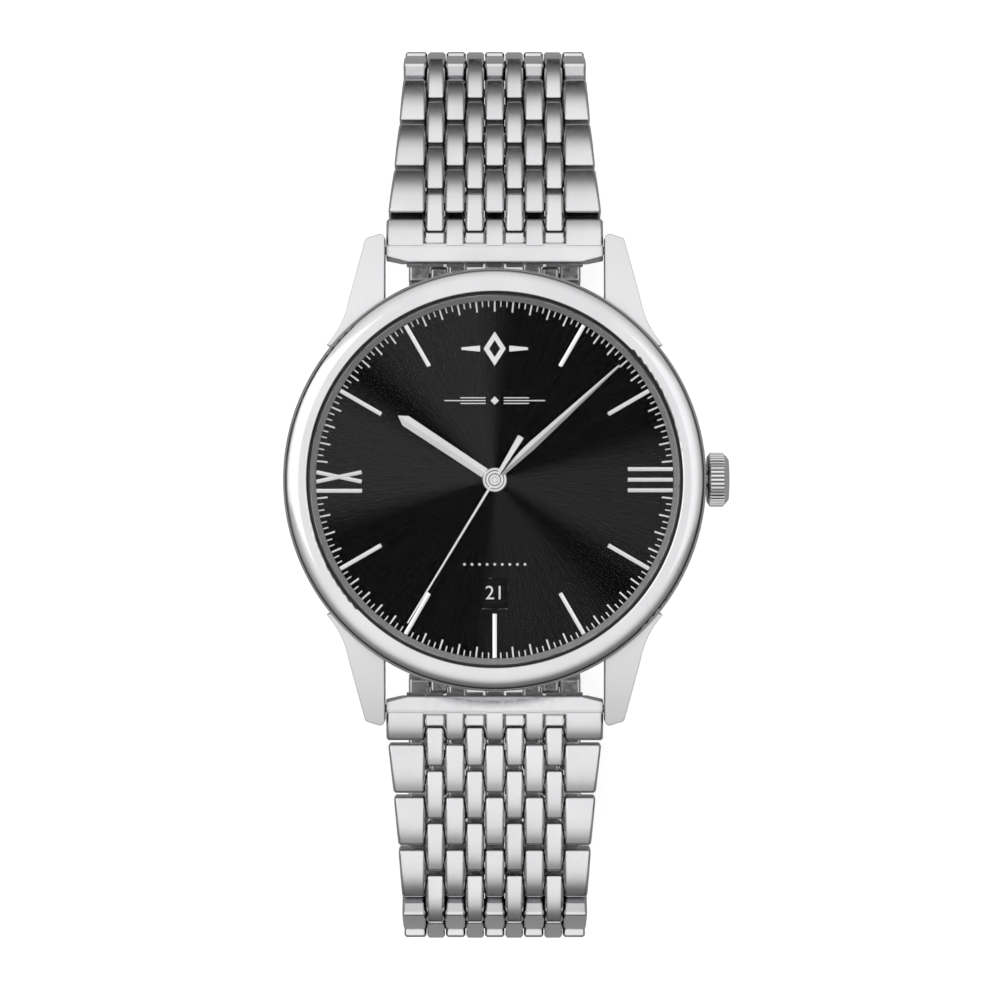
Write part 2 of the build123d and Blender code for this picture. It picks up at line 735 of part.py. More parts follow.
def clasp_inner_blade(end, level):
    """Blade next to the wrist, from the last link's pin to the fold."""
    plate = block(-BLADE_HALF, BLADE_HALF, FOLD_Y + 1.3, end - 1.0, level + 0.35, level + 0.95)
    barrel = rod(1.25, -EAR_IN, EAR_IN, end, level)
    web = block(-EAR_IN, EAR_IN, end - 1.6, end, level - 0.2, level + 0.95)
    blade = plate + barrel + web
    for side in (1, -1):
        arm = block(3.15, BLADE_HALF, FOLD_Y, FOLD_Y + 1.6, level + 0.35, level + 0.95)
        arm = arm + rod(0.7, 3.15, BLADE_HALF, FOLD_Y, level + 0.05)
        blade = blade + (arm if side > 0 else mirror(arm, Plane.YZ))
    slot = block(-1.6, 1.6, FOLD_Y + 6, end - 8, level, level + 2)
    blade = blade - slot - rod(0.35, -6, 6, FOLD_Y, level + 0.05)
    blade = blade - rod(PIN_R, -8, 8, end, level)
    pin = rod(0.35, -BLADE_HALF, BLADE_HALF, FOLD_Y, level + 0.05)
    bar = rod(PIN_R, -6.7, 6.7, end, level)
    return group([blade, pin, bar])


def clasp_middle_blade(level):
    """Blade that folds between the inner blade and the cover."""
    low = level - 0.6
    high = level - 0.05
    plate = block(-BLADE_HALF, BLADE_HALF, FOLD_Y + 1.0, HEEL_Y - 0.9, low, high)
    plate = plate - block(-2.0, 2.0, FOLD_Y + 5, HEEL_Y - 5, low - 1, high + 1)
    toe = rod(0.7, -3.05, 3.05, FOLD_Y, level + 0.05)
    toe = toe + block(-3.05, 3.05, FOLD_Y, FOLD_Y + 1.2, low, level + 0.1)
    blade = plate + toe
    arm = rod(0.5, 3.15, BLADE_HALF, HEEL_Y, level - 0.25)
    arm = arm + block(3.15, BLADE_HALF, HEEL_Y - 1.2, HEEL_Y, low, high)
    blade = blade + arm + mirror(arm, Plane.YZ)
    blade = blade - rod(0.35 + RUN, -6, 6, FOLD_Y, level + 0.05)
    return blade - rod(0.25, -6, 6, HEEL_Y, level - 0.25)


def clasp_cover(end, level):
    """Outer shell with folded sides, the heel knuckle and the far end's barrel."""
    half = CLASP_W / 2
    low = level - LINK_T / 2
    top = 16.6
    floor = block(-half, half, -15.6, top, low, low + 0.55)
    shell = floor
    for side in (1, -1):
        wall = block(half - 0.8, half, -15.6, top, low, level + 1.0)
        shell = shell + (wall if side > 0 else mirror(wall, Plane.YZ))
    long_edges = shell.edges().filter_by(Axis.Y)
    outer = long_edges.filter_by(lambda e: abs(e.center().Z - low) < 0.01)
    shell = fillet(outer, 0.45)
    neck = block(-EAR_IN, EAR_IN, end, -15.0, low + 0.05, level + 0.4)
    barrel = rod(1.25, -EAR_IN, EAR_IN, end, level)
    shell = shell + neck + barrel
    knuckle = rod(0.5, -3.05, 3.05, HEEL_Y, level - 0.25)
    knuckle = knuckle + block(-3.05, 3.05, HEEL_Y - 0.5, HEEL_Y + 0.5, low + 0.4, level - 0.25)
    shell = shell + knuckle - rod(0.25 + RUN, -4, 4, HEEL_Y, level - 0.25)
    shell = shell - rod(PIN_R, -EAR_IN - 1, EAR_IN + 1, end, level)
    return shell - rod(0.6 + RUN, -half - 1, half + 1, -8.0, level - 0.1)


def clasp_spring_bar(end, level):
    """Far spring bar with its tips drawn in, inside the cover's barrel."""
    return rod(PIN_R, -EAR_IN + 0.1, EAR_IN - 0.1, end, level)


def heel_pin(level):
    return rod(0.25, -BLADE_HALF, BLADE_HALF, HEEL_Y, level - 0.25)


def clasp_pusher(side, level):
    """Side button with its shank and the catch behind the wall."""
    half = CLASP_W / 2
    centre = level - 0.1
    button = block(half + 0.5, half + 1.15, -9.9, -6.1, centre - 0.8, centre + 0.8)
    button = fillet(button.edges().filter_by(Axis.X), 0.5)
    pusher = button + rod(0.6, half - 1.9, half + 0.8, -8.0, centre)
    catch = block(half - 2.3, half - 1.85, -9.2, -6.8, centre - 0.6, centre + 0.6)
    pusher = pusher + catch
    return pusher if side == "right" else mirror(pusher, Plane.YZ)


# ------------------------------------------------------------------ write every piece

save("case_middle", case_middle())
save("bezel", bezel())
save("crystal", crystal())
save("crystal_gasket", crystal_gasket())
save("flange_ring", flange_ring())
save("case_back", case_back())
save("case_back_glass", case_back_glass())
save("case_back_gasket", case_back_gasket())
save("movement_holder", movement_holder())
save("lug_spring_bars", lug_spring_bars())
save("dial", dial())
save("applied_markers", applied_markers())
save("hour_hand", hour_hand())
save("minute_hand", minute_hand())
save("second_hand", second_hand())
save("main_plate", main_plate())
save("train_bridge", train_bridge())
save("balance_cock", balance_cock())
save("mainspring_barrel", mainspring_barrel())
save("centre_wheel", centre_wheel())
save("third_wheel", third_wheel())
save("fourth_wheel", fourth_wheel())
save("escape_wheel", escape_wheel())
save("balance_wheel", balance_wheel())
save("hairspring", hairspring())
save("rotor", rotor())
save("date_disc", date_disc())
save("hour_wheel", hour_wheel())
save("minute_wheel", minute_wheel())
save("crown", crown())
save("winding_stem", winding_stem())

end_12 = save_chain(12, END_TILT_12, TILTS_12)
level = end_12[1]
end_6 = save_chain(6, END_TILT_6, levelled(END_TILT_6, TILTS_6, level))

save("clasp_inner_blade", clasp_inner_blade(end_12[0], level))
save("clasp_middle_blade", group([clasp_middle_blade(level), heel_pin(level)]))
save("clasp_cover", clasp_cover(-end_6[0], level))
save("clasp_spring_bar", clasp_spring_bar(-end_6[0], level))
save("clasp_pusher_right", clasp_pusher("right", level))
save("clasp_pusher_left", clasp_pusher("left", level))
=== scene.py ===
import math

import bmesh
import bpy
from mathutils import Matrix, Vector


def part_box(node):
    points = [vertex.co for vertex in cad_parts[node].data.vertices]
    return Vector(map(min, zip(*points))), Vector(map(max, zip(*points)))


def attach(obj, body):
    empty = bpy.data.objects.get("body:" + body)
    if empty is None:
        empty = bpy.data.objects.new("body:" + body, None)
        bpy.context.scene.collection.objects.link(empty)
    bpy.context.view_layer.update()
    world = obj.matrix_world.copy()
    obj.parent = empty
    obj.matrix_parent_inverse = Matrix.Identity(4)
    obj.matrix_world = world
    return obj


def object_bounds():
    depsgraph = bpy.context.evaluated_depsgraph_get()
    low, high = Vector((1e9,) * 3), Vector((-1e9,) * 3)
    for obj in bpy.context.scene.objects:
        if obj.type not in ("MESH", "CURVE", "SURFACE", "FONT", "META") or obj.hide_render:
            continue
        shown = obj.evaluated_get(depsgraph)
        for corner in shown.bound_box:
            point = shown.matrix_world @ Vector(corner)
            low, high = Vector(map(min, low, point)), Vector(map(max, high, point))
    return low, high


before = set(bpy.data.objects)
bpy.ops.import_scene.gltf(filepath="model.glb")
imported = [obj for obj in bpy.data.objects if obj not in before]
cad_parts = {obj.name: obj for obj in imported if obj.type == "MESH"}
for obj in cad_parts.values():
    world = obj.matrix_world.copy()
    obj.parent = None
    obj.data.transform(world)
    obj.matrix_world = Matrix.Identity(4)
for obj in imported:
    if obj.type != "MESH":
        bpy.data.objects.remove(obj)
CAD_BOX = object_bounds()

MM = 0.001

# Heights and radii read from the frame, in metres.
DIAL_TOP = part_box("dial")[1][2]
BEZEL_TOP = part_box("bezel")[1][2]
DATE_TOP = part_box("date_disc")[1][2]
FLOOR_Z = CAD_BOX[0][2] - 0.05 * MM
COCK_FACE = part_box("balance_cock")[0][2]
BRIDGE_FACE = COCK_FACE - 0.1 * MM
ROTOR_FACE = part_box("rotor")[0][2]

# Print on the dial: a thin layer with its lower side just inside the dial.
PRINT_LOW = DIAL_TOP - 0.005 * MM
PRINT_HIGH = DIAL_TOP + 0.012 * MM
TRACK_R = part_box("dial")[1][0] - 0.68 * MM
MINUTE_TICK = (1.04 * MM, 0.17 * MM)
SHORT_TICK = (0.55 * MM, 0.12 * MM)
NUMERAL_HALF_ANGLE = 5
ORNAMENT_Y = 7.85 * MM
LOZENGE_HALF = 0.42 * MM
LINE_START = 0.9 * MM
LINE_HALF_WIDTH = 0.05 * MM
LINES = ((0.28 * MM, 3.4 * MM), (0.0, 5.0 * MM), (-0.28 * MM, 3.4 * MM))
DOTS = 9
DOT_PITCH = 0.75 * MM
DOT_R = 0.13 * MM
DOTS_Y = -8.4 * MM

# Date disc: the day shown in the window, and the size and place of the numbers.
DAYS = 31
DAY_SHOWN = 21
DATE_NUMBER_R = 11.3 * MM
DATE_NUMBER_SIZE = 1.95 * MM
DATE_NUMBER_HALF = 0.004 * MM

# Screw heads in the movement: where they sit and how large they are.
BRIDGE_SCREWS = ((0.0, 8.8 * MM), (9.4 * MM, 2.6 * MM), (-4.5 * MM, -8.4 * MM))
COCK_SCREW = (9.6 * MM, -6.6 * MM)
SCREW_R = 0.75 * MM
BARREL_SCREW_R = 1.1 * MM
ROTOR_SCREW_R = 0.38 * MM
ROTOR_SCREW_CIRCLE = 1.75 * MM
SLOT_HALF_ANGLE = math.asin(0.2)

# Directions of the dial's pale rays, which are painted highlights in its colour, in degrees
# counter-clockwise from 3 o'clock, and how strong each one is. A ray starts and ends at these
# cosines of the angle from its middle.
DIAL_PAINTED_HIGHLIGHTS = ((171, 1.0), (351, 0.74), (112, 0.8), (289, 0.45))
HIGHLIGHT_EDGE = 0.87
HIGHLIGHT_CORE = 0.985

# Studio: the overhead light's direction, and its brightness by the cosine from it.
OVERHEAD = Vector((-0.04, 0.17, 1.0)).normalized()
HORIZON = (0.26, (0.035, 0.035, 0.036, 1))
ZENITH = (0.90, (1, 1, 1, 1))
BETWEEN = ((0.50, 0.25), (0.643, 0.66), (0.766, 0.92))
WORLD_STRENGTH = 1.28

# Camera: straight above the dial, with the width of the picture at the bezel's top.
CAMERA_HEIGHT = 0.40
PICTURE_WIDTH = 97.08 * MM
SENSOR_WIDTH = 36.0
CAMERA_SHIFT = (-0.00274, -0.0125)


# ------------------------------------------------------------------ node helpers

def new_material(name):
    """Empty node material with its Principled shader."""
    mat = bpy.data.materials.new(name)
    mat.use_nodes = True
    tree = mat.node_tree
    return mat, tree, tree.nodes["Principled BSDF"]


def add(tree, kind, **values):
    """Add a node and set its properties."""
    node = tree.nodes.new(kind)
    for key, value in values.items():
        setattr(node, key, value)
    return node


def object_coords(tree, scale):
    """Object coordinates, stretched by a scale per axis."""
    coords = add(tree, "ShaderNodeTexCoord")
    mapping = add(tree, "ShaderNodeMapping")
    mapping.inputs["Scale"].default_value = scale
    tree.links.new(coords.outputs["Object"], mapping.inputs["Vector"])
    return mapping.outputs["Vector"]


def noise(tree, vector, scale, detail=4.0, rough=0.55):
    """Noise texture's factor."""
    node = add(tree, "ShaderNodeTexNoise")
    node.inputs["Scale"].default_value = scale
    node.inputs["Detail"].default_value = detail
    node.inputs["Roughness"].default_value = rough
    tree.links.new(vector, node.inputs["Vector"])
    return node.outputs["Fac"]


def spread(tree, value, low, high, start=0.3, end=0.7):
    """Map a factor onto a range."""
    node = add(tree, "ShaderNodeMapRange")
    node.inputs["From Min"].default_value = start
    node.inputs["From Max"].default_value = end
    node.inputs["To Min"].default_value = low
    node.inputs["To Max"].default_value = high
    tree.links.new(value, node.inputs["Value"])
    return node.outputs["Result"]


def two_tone(tree, value, dark, light, start=0.3, end=0.7):
    """Colour between two tones, driven by a factor."""
    node = add(tree, "ShaderNodeValToRGB")
    node.color_ramp.elements[0].position = start
    node.color_ramp.elements[0].color = (*dark, 1)
    node.color_ramp.elements[1].position = end
    node.color_ramp.elements[1].color = (*light, 1)
    tree.links.new(value, node.inputs["Fac"])
    return node.outputs["Color"]


def bump(tree, shader, value, strength, distance, rounding=0.0):
    """Bump from a factor onto a shader's normal; a rounding radius softens the edges."""
    node = add(tree, "ShaderNodeBump")
    if rounding:
        edges = add(tree, "ShaderNodeBevel", samples=6)
        edges.inputs["Radius"].default_value = rounding
        tree.links.new(edges.outputs["Normal"], node.inputs["Normal"])
    node.inputs["Strength"].default_value = strength
    node.inputs["Distance"].default_value = distance
    tree.links.new(value, node.inputs["Height"])
    tree.links.new(node.outputs["Normal"], shader.inputs["Normal"])


def gap_tint(tree, colour, distance, darkest_shade):
    """Colour darkened in gaps and corners by ambient occlusion: painted shade where light is
    blocked.
    """
    shade = add(tree, "ShaderNodeAmbientOcclusion", samples=6)
    shade.inputs["Distance"].default_value = distance
    level = spread(tree, shade.outputs["AO"], darkest_shade, 1.0, 0.25, 0.85)
    shaded_colour = add(tree, "ShaderNodeVectorMath", operation="SCALE")
    tree.links.new(colour, shaded_colour.inputs[0])
    tree.links.new(level, shaded_colour.inputs["Scale"])
    return shaded_colour.outputs["Vector"]


# ------------------------------------------------------------------ materials

def brushed_metal(name, dark, light, rough, stretch, scratch=0.06, shade_reach=0.5 * MM, rounding=0.0):
    """Metal with fine scratches along one axis, slow tone changes and painted shade in its
    gaps.
    """
    mat, tree, shader = new_material(name)
    shader.inputs["Metallic"].default_value = 1.0
    shader.inputs["Anisotropic"].default_value = 0.35
    grain = noise(tree, object_coords(tree, stretch), 1.0, 6.0)
    cloud = noise(tree, object_coords(tree, (90, 90, 90)), 1.0, 2.0)
    mixed = add(tree, "ShaderNodeMath", operation="MULTIPLY_ADD")
    mixed.inputs[1].default_value = 0.6
    tree.links.new(grain, mixed.inputs[0])
    scaled = add(tree, "ShaderNodeMath", operation="MULTIPLY")
    scaled.inputs[1].default_value = 0.4
    tree.links.new(cloud, scaled.inputs[0])
    tree.links.new(scaled.outputs[0], mixed.inputs[2])
    colour = two_tone(tree, mixed.outputs[0], dark, light)
    # Base colour darkened by painted shade in gaps and corners.
    tree.links.new(gap_tint(tree, colour, shade_reach, 0.35), shader.inputs["Base Color"])
    tree.links.new(spread(tree, mixed.outputs[0], rough * 0.75, rough * 1.3),
                   shader.inputs["Roughness"])
    bump(tree, shader, grain, scratch, 0.00002, rounding)
    return mat


def polished_metal(name, dark, light, rough, shade_reach=0.5 * MM, darkest_shade=0.2, rounding=0.0):
    """Mirror-like metal with faint handling marks and painted shade darkening its gaps."""
    mat, tree, shader = new_material(name)
    shader.inputs["Metallic"].default_value = 1.0
    marks = noise(tree, object_coords(tree, (1800, 1800, 1800)), 1.0, 5.0)
    cloud = noise(tree, object_coords(tree, (140, 140, 140)), 1.0, 2.0)
    colour = two_tone(tree, cloud, dark, light)
    # Base colour darkened by painted shade in gaps and corners.
    tree.links.new(gap_tint(tree, colour, shade_reach, darkest_shade), shader.inputs["Base Color"])
    tree.links.new(spread(tree, marks, rough * 0.6, rough * 1.5), shader.inputs["Roughness"])
    bump(tree, shader, marks, 0.015, 0.00001, rounding)
    return mat


def sunray_dial(name):
    """Black lacquer over a radially brushed plate, with broad pale rays painted in as
    highlights.
    """
    mat, tree, shader = new_material(name)
    shader.inputs["Metallic"].default_value = 1.0
    shader.inputs["Anisotropic"].default_value = 0.92
    tangent = add(tree, "ShaderNodeTangent", direction_type="RADIAL", axis="Z")
    tree.links.new(tangent.outputs["Tangent"], shader.inputs["Tangent"])
    flat = add(tree, "ShaderNodeVectorMath", operation="NORMALIZE")
    tree.links.new(object_coords(tree, (1, 1, 0)), flat.inputs[0])
    grain = noise(tree, flat.outputs["Vector"], 60.0, 5.0, 0.7)
    grain_and_highlights = spread(tree, grain, 0.0, 0.06)
    # The pale rays are painted highlights: lighter colour by direction from the dial's centre.
    for angle, level in DIAL_PAINTED_HIGHLIGHTS:
        toward = add(tree, "ShaderNodeVectorMath", operation="DOT_PRODUCT")
        turn = math.radians(angle)
        toward.inputs[1].default_value = (math.cos(turn), math.sin(turn), 0)
        tree.links.new(flat.outputs["Vector"], toward.inputs[0])
        painted_highlight = add(tree, "ShaderNodeMapRange", interpolation_type="SMOOTHSTEP")
        painted_highlight.inputs["From Min"].default_value = HIGHLIGHT_EDGE
        painted_highlight.inputs["From Max"].default_value = HIGHLIGHT_CORE
        painted_highlight.inputs["To Max"].default_value = level
        tree.links.new(toward.outputs["Value"], painted_highlight.inputs["Value"])
        added = add(tree, "ShaderNodeMath", operation="ADD")
        tree.links.new(grain_and_highlights, added.inputs[0])
        tree.links.new(painted_highlight.outputs["Result"], added.inputs[1])
        grain_and_highlights = added.outputs[0]
    colour = two_tone(tree, grain_and_highlights, (0.0018, 0.0018, 0.0019), (0.022, 0.022, 0.0225), 0.0, 1.0)
    tree.links.new(colour, shader.inputs["Base Color"])
    tree.links.new(spread(tree, grain, 0.24, 0.32), shader.inputs["Roughness"])
    bump(tree, shader, grain, 0.05, 0.00002)
    return mat


def matt(name, dark, light, rough, scale, strength=0.15, specular=0.5):
    """Plastic, rubber, ink or lacquer with a fine grain."""
    mat, tree, shader = new_material(name)
    shader.inputs["Specular IOR Level"].default_value = specular
    grain = noise(tree, object_coords(tree, (scale, scale, scale)), 1.0, 4.0)
    colour = two_tone(tree, grain, dark, light)
    tree.links.new(colour, shader.inputs["Base Color"])
    tree.links.new(spread(tree, grain, rough * 0.85, min(1.0, rough * 1.15)),
                   shader.inputs["Roughness"])
    bump(tree, shader, grain, strength, 0.00002)
    return mat


def sapphire(name):
    """Clear crystal with an anti-reflective coat, almost invisible face on."""
    mat, tree, shader = new_material(name)
    shader.inputs["Alpha"].default_value = 0.035
    shader.inputs["IOR"].default_value = 1.45
    haze = noise(tree, object_coords(tree, (300, 300, 300)), 1.0, 3.0)
    colour = two_tone(tree, haze, (0.010, 0.011, 0.013), (0.020, 0.021, 0.024))
    tree.links.new(colour, shader.inputs["Base Color"])
    tree.links.new(spread(tree, haze, 0.02, 0.05), shader.inputs["Roughness"])
    return mat


def perlage(name, dark, light):
    """Gilt or nickel plate covered with overlapping circular graining."""
    mat, tree, shader = new_material(name)
    shader.inputs["Metallic"].default_value = 1.0
    cells = add(tree, "ShaderNodeTexVoronoi", feature="F1")
    cells.inputs["Scale"].default_value = 1.0
    cells.inputs["Randomness"].default_value = 0.12
    tree.links.new(object_coords(tree, (1100, 1100, 1)), cells.inputs["Vector"])
    waves = add(tree, "ShaderNodeMath", operation="SINE")
    turns = add(tree, "ShaderNodeMath", operation="MULTIPLY")
    turns.inputs[1].default_value = 60.0
    tree.links.new(cells.outputs["Distance"], turns.inputs[0])
    tree.links.new(turns.outputs[0], waves.inputs[0])
    colour = two_tone(tree, cells.outputs["Distance"], light, dark, 0.0, 0.6)
    tree.links.new(colour, shader.inputs["Base Color"])
    tree.links.new(spread(tree, cells.outputs["Distance"], 0.18, 0.34, 0.0, 0.6),
                   shader.inputs["Roughness"])
    bump(tree, shader, waves.outputs[0], 0.10, 0.00001)
    return mat


def striped(name, dark, light, pitch):
    """Nickel bridge with broad decorative stripes along Y."""
    one_stripe_per_unit = 0.314
    mat, tree, shader = new_material(name)
    shader.inputs["Metallic"].default_value = 1.0
    stripes = add(tree, "ShaderNodeTexWave", wave_type="BANDS", bands_direction="X",
                  wave_profile="SAW")
    stripes.inputs["Scale"].default_value = one_stripe_per_unit
    stripes.inputs["Distortion"].default_value = 0.0
    tree.links.new(object_coords(tree, (1 / pitch, 1 / pitch, 1 / pitch)),
                   stripes.inputs["Vector"])
    grain = noise(tree, object_coords(tree, (9000, 300, 9000)), 1.0, 4.0)
    colour = two_tone(tree, stripes.outputs["Fac"], dark, light, 0.0, 1.0)
    tree.links.new(colour, shader.inputs["Base Color"])
    tree.links.new(spread(tree, grain, 0.20, 0.34), shader.inputs["Roughness"])
    bump(tree, shader, stripes.outputs["Fac"], 0.12, 0.00003)
    return mat


def jewel(name):
    """Red synthetic jewel."""
    mat, tree, shader = new_material(name)
    shader.inputs["Coat Weight"].default_value = 1.0
    shader.inputs["Coat Roughness"].default_value = 0.03
    depth = noise(tree, object_coords(tree, (4000, 4000, 4000)), 1.0, 2.0)
    colour = two_tone(tree, depth, (0.42, 0.01, 0.05), (0.75, 0.03, 0.12))
    tree.links.new(colour, shader.inputs["Base Color"])
    tree.links.new(spread(tree, depth, 0.05, 0.15), shader.inputs["Roughness"])
    return mat


POLISHED = polished_metal("polished_steel", (0.62, 0.62, 0.63), (0.68, 0.68, 0.69), 0.12)
BEZEL = polished_metal("bezel_steel", (0.57, 0.57, 0.58), (0.63, 0.63, 0.64), 0.12)
# Link and applied steel set how far and how dark the painted shade in their gaps reaches.
LINK = polished_metal("link_steel", (0.58, 0.58, 0.59), (0.64, 0.64, 0.65), 0.15,
                      shade_reach=0.7 * MM, darkest_shade=0.12, rounding=0.24 * MM)
APPLIED = polished_metal("applied_steel", (0.62, 0.62, 0.62), (0.70, 0.70, 0.70), 0.14,
                         shade_reach=0.2 * MM, darkest_shade=0.5)
SATIN = brushed_metal("satin_steel", (0.62, 0.62, 0.63), (0.70, 0.70, 0.71), 0.40,
                      (6000, 300, 6000), scratch=0.03, rounding=0.15 * MM)
DIAL = sunray_dial("sunray_black")
FLANGE = matt("flange_grey", (0.46, 0.46, 0.47), (0.56, 0.56, 0.57), 0.35, 5000)
RUBBER = matt("gasket_rubber", (0.012, 0.012, 0.012), (0.03, 0.03, 0.03), 0.7, 3000,
              strength=0.3)
PLASTIC = matt("holder_plastic", (0.08, 0.08, 0.085), (0.13, 0.13, 0.14), 0.55, 2500)
PRINT = matt("white_print", (0.80, 0.80, 0.78), (0.90, 0.90, 0.88), 0.5, 6000)
DATE_BLACK = matt("date_black", (0.0015, 0.0015, 0.0015), (0.003, 0.003, 0.003), 0.5, 4000,
                  strength=0.1, specular=0.1)
CRYSTAL = sapphire("sapphire")
GILT = brushed_metal("gilt_brass", (0.62, 0.44, 0.18), (0.82, 0.62, 0.30), 0.26,
                     (3000, 3000, 3000))
PLATE = perlage("plate_perlage", (0.50, 0.46, 0.36), (0.78, 0.72, 0.58))
BRIDGE = striped("bridge_stripes", (0.52, 0.51, 0.49), (0.76, 0.75, 0.72), 1.6 * MM)
NICKEL = brushed_metal("nickel", (0.56, 0.55, 0.53), (0.72, 0.71, 0.69), 0.22,
                       (4000, 4000, 4000))
BLUED = brushed_metal("blued_steel", (0.03, 0.06, 0.22), (0.08, 0.14, 0.42), 0.22,
                      (5000, 5000, 5000))
JEWEL = jewel("ruby")

# Every node not named here is an end link or a row of the bracelet.
NODE_MATERIALS = {
    "case_middle": SATIN, "bezel": BEZEL, "crystal": CRYSTAL, "crystal_gasket": RUBBER,
    "flange_ring": FLANGE, "case_back": SATIN, "case_back_glass": CRYSTAL,
    "case_back_gasket": RUBBER, "movement_holder": PLASTIC, "lug_spring_bars": SATIN,
    "dial": DIAL, "applied_markers": APPLIED, "hour_hand": APPLIED, "minute_hand": APPLIED,
    "second_hand": APPLIED, "main_plate": PLATE, "train_bridge": BRIDGE,
    "balance_cock": BRIDGE, "mainspring_barrel": GILT, "centre_wheel": GILT,
    "third_wheel": GILT, "fourth_wheel": GILT, "escape_wheel": NICKEL, "balance_wheel": GILT,
    "hairspring": BLUED, "rotor": BRIDGE, "date_disc": DATE_BLACK, "hour_wheel": GILT,
    "minute_wheel": GILT, "crown": POLISHED, "winding_stem": NICKEL,
    "clasp_inner_blade": SATIN, "clasp_middle_blade": SATIN, "clasp_cover": POLISHED,
    "clasp_spring_bar": SATIN, "clasp_pusher_right": POLISHED, "clasp_pusher_left": POLISHED,
}

for node_name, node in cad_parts.items():
    node.data.materials.clear()
    node.data.materials.append(NODE_MATERIALS.get(node_name, LINK))


# ------------------------------------------------------------------ mesh helpers

def finish_bmesh(name, bm, material, body):
    """Turn a bmesh into a piece that rides on a body."""
    mesh = bpy.data.meshes.new(name)
    bm.to_mesh(mesh)
    bm.free()
    mesh.materials.append(material)
    piece = bpy.data.objects.new(name, mesh)
    bpy.context.scene.collection.objects.link(piece)
    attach(piece, body)


def centre_of(node_name):
    """Middle of a node's box, seen from above."""
    low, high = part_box(node_name)
    return (low[0] + high[0]) / 2, (low[1] + high[1]) / 2


def prism(bm, outline, low, high):
    """Add a closed prism over a plan outline given counter-clockwise."""
    base = [bm.verts.new((x, y, low)) for x, y in outline]
    top = [bm.verts.new((x, y, high)) for x, y in outline]
    bm.faces.new(top)
    bm.faces.new(base[::-1])
    for i in range(len(outline)):
        j = (i + 1) % len(outline)
        bm.faces.new((base[i], base[j], top[j], top[i]))


def radial_bar(bm, inner, outer, width, angle, low, high):
    """Add one bar between two radii; the angle is clockwise from 12 o'clock."""
    c = math.cos(math.radians(90 - angle))
    s = math.sin(math.radians(90 - angle))
    corners = []
    for along, across in ((inner, -1), (outer, -1), (outer, 1), (inner, 1)):
        x = along * c - across * width / 2 * s
        y = along * s + across * width / 2 * c
        corners.append((x, y))
    prism(bm, corners, low, high)


def arc(centre, radius, steps, start, sweep):
    """Points along an arc, both ends among them."""
    x, y = centre
    turns = [start + sweep * i / steps for i in range(steps + 1)]
    return [(x + radius * math.cos(turn), y + radius * math.sin(turn)) for turn in turns]


def circle(centre, radius, steps):
    """Points round a full circle."""
    return arc(centre, radius, steps, 0.0, 2 * math.pi)[:-1]


def lathe(bm, centre, profile, hollow, steps=40):
    """Add a solid of revolution about Z: a ring if hollow, otherwise capped at both ends."""
    rings = [[bm.verts.new((x, y, z)) for x, y in circle(centre, radius, steps)]
             for radius, z in profile]
    following = rings[1:] + rings[:1] if hollow else rings[1:]
    for near, far in zip(rings, following):
        for i in range(steps):
            j = (i + 1) % steps
            bm.faces.new((near[i], near[j], far[j], far[i]))
    if not hollow:
        bm.faces.new(rings[0][::-1])
        bm.faces.new(rings[-1])


# ------------------------------------------------------------------ print on the dial

def minute_track():
    """Printed track: a long tick each minute and two short ones between."""
    bm = bmesh.new()
    for i in range(180):
        angle = 2 * i
        beside_numeral = min(abs(angle - 90), abs(angle - 270)) < NUMERAL_HALF_ANGLE
        under_marker = angle % 30 == 0 and angle > 0
        if beside_numeral or under_marker:
            continue
        length, width = MINUTE_TICK if i % 3 == 0 else SHORT_TICK
        radial_bar(bm, TRACK_R - length, TRACK_R, width, angle, PRINT_LOW, PRINT_HIGH)
    finish_bmesh("minute_track", bm, PRINT, "case")


def dial_ornaments():
    """Printed lozenge between fine lines above the hands, and a row of dots below them."""
    bm = bmesh.new()
    lozenge = [(LOZENGE_HALF, ORNAMENT_Y), (0, ORNAMENT_Y + LOZENGE_HALF),
               (-LOZENGE_HALF, ORNAMENT_Y), (0, ORNAMENT_Y - LOZENGE_HALF)]
    prism(bm, lozenge, PRINT_LOW, PRINT_HIGH)
    for side in (1, -1):
        for offset, reach in LINES:
            left, right = sorted((side * LINE_START, side * reach))
            bottom = ORNAMENT_Y + offset - LINE_HALF_WIDTH
            top = ORNAMENT_Y + offset + LINE_HALF_WIDTH
            line = [(left, bottom), (right, bottom), (right, top), (left, top)]
            prism(bm, line, PRINT_LOW, PRINT_HIGH)
    for i in range(DOTS):
        spot = ((i - DOTS // 2) * DOT_PITCH, DOTS_Y)
        prism(bm, circle(spot, DOT_R, 16), PRINT_LOW, PRINT_HIGH)
    finish_bmesh("dial_ornaments", bm, PRINT, "case")


def number_mesh(number, place):
    """Mesh of one number, laid flat and moved by a matrix."""
    curve = bpy.data.curves.new("day", "FONT")
    curve.body = str(number)
    curve.size = DATE_NUMBER_SIZE
    curve.extrude = DATE_NUMBER_HALF
    curve.align_x = "CENTER"
    curve.align_y = "CENTER"
    holder = bpy.data.objects.new("day", curve)
    bpy.context.scene.collection.objects.link(holder)
    bpy.context.view_layer.update()
    mesh = bpy.data.meshes.new_from_object(holder)
    bpy.data.objects.remove(holder)
    bpy.data.curves.remove(curve)
    mesh.transform(place)
    return mesh


def date_numbers():
    """The printed days of the month, with one of them at the window."""
    bm = bmesh.new()
    for day in range(1, DAYS + 1):
        turn = math.radians(-(day - DAY_SHOWN) * 360 / DAYS)
        place = (Matrix.Rotation(turn, 4, "Z")
                 @ Matrix.Translation((0, -DATE_NUMBER_R, DATE_TOP + DATE_NUMBER_HALF)))
        mesh = number_mesh(day, place)
        bm.from_mesh(mesh)
        bpy.data.meshes.remove(mesh)
    finish_bmesh("date_numbers", bm, PRINT, "date")


# ------------------------------------------------------------------ movement details

JEWEL_SEATS = (("third_wheel", BRIDGE_FACE), ("escape_wheel", BRIDGE_FACE),
               ("balance_wheel", COCK_FACE))


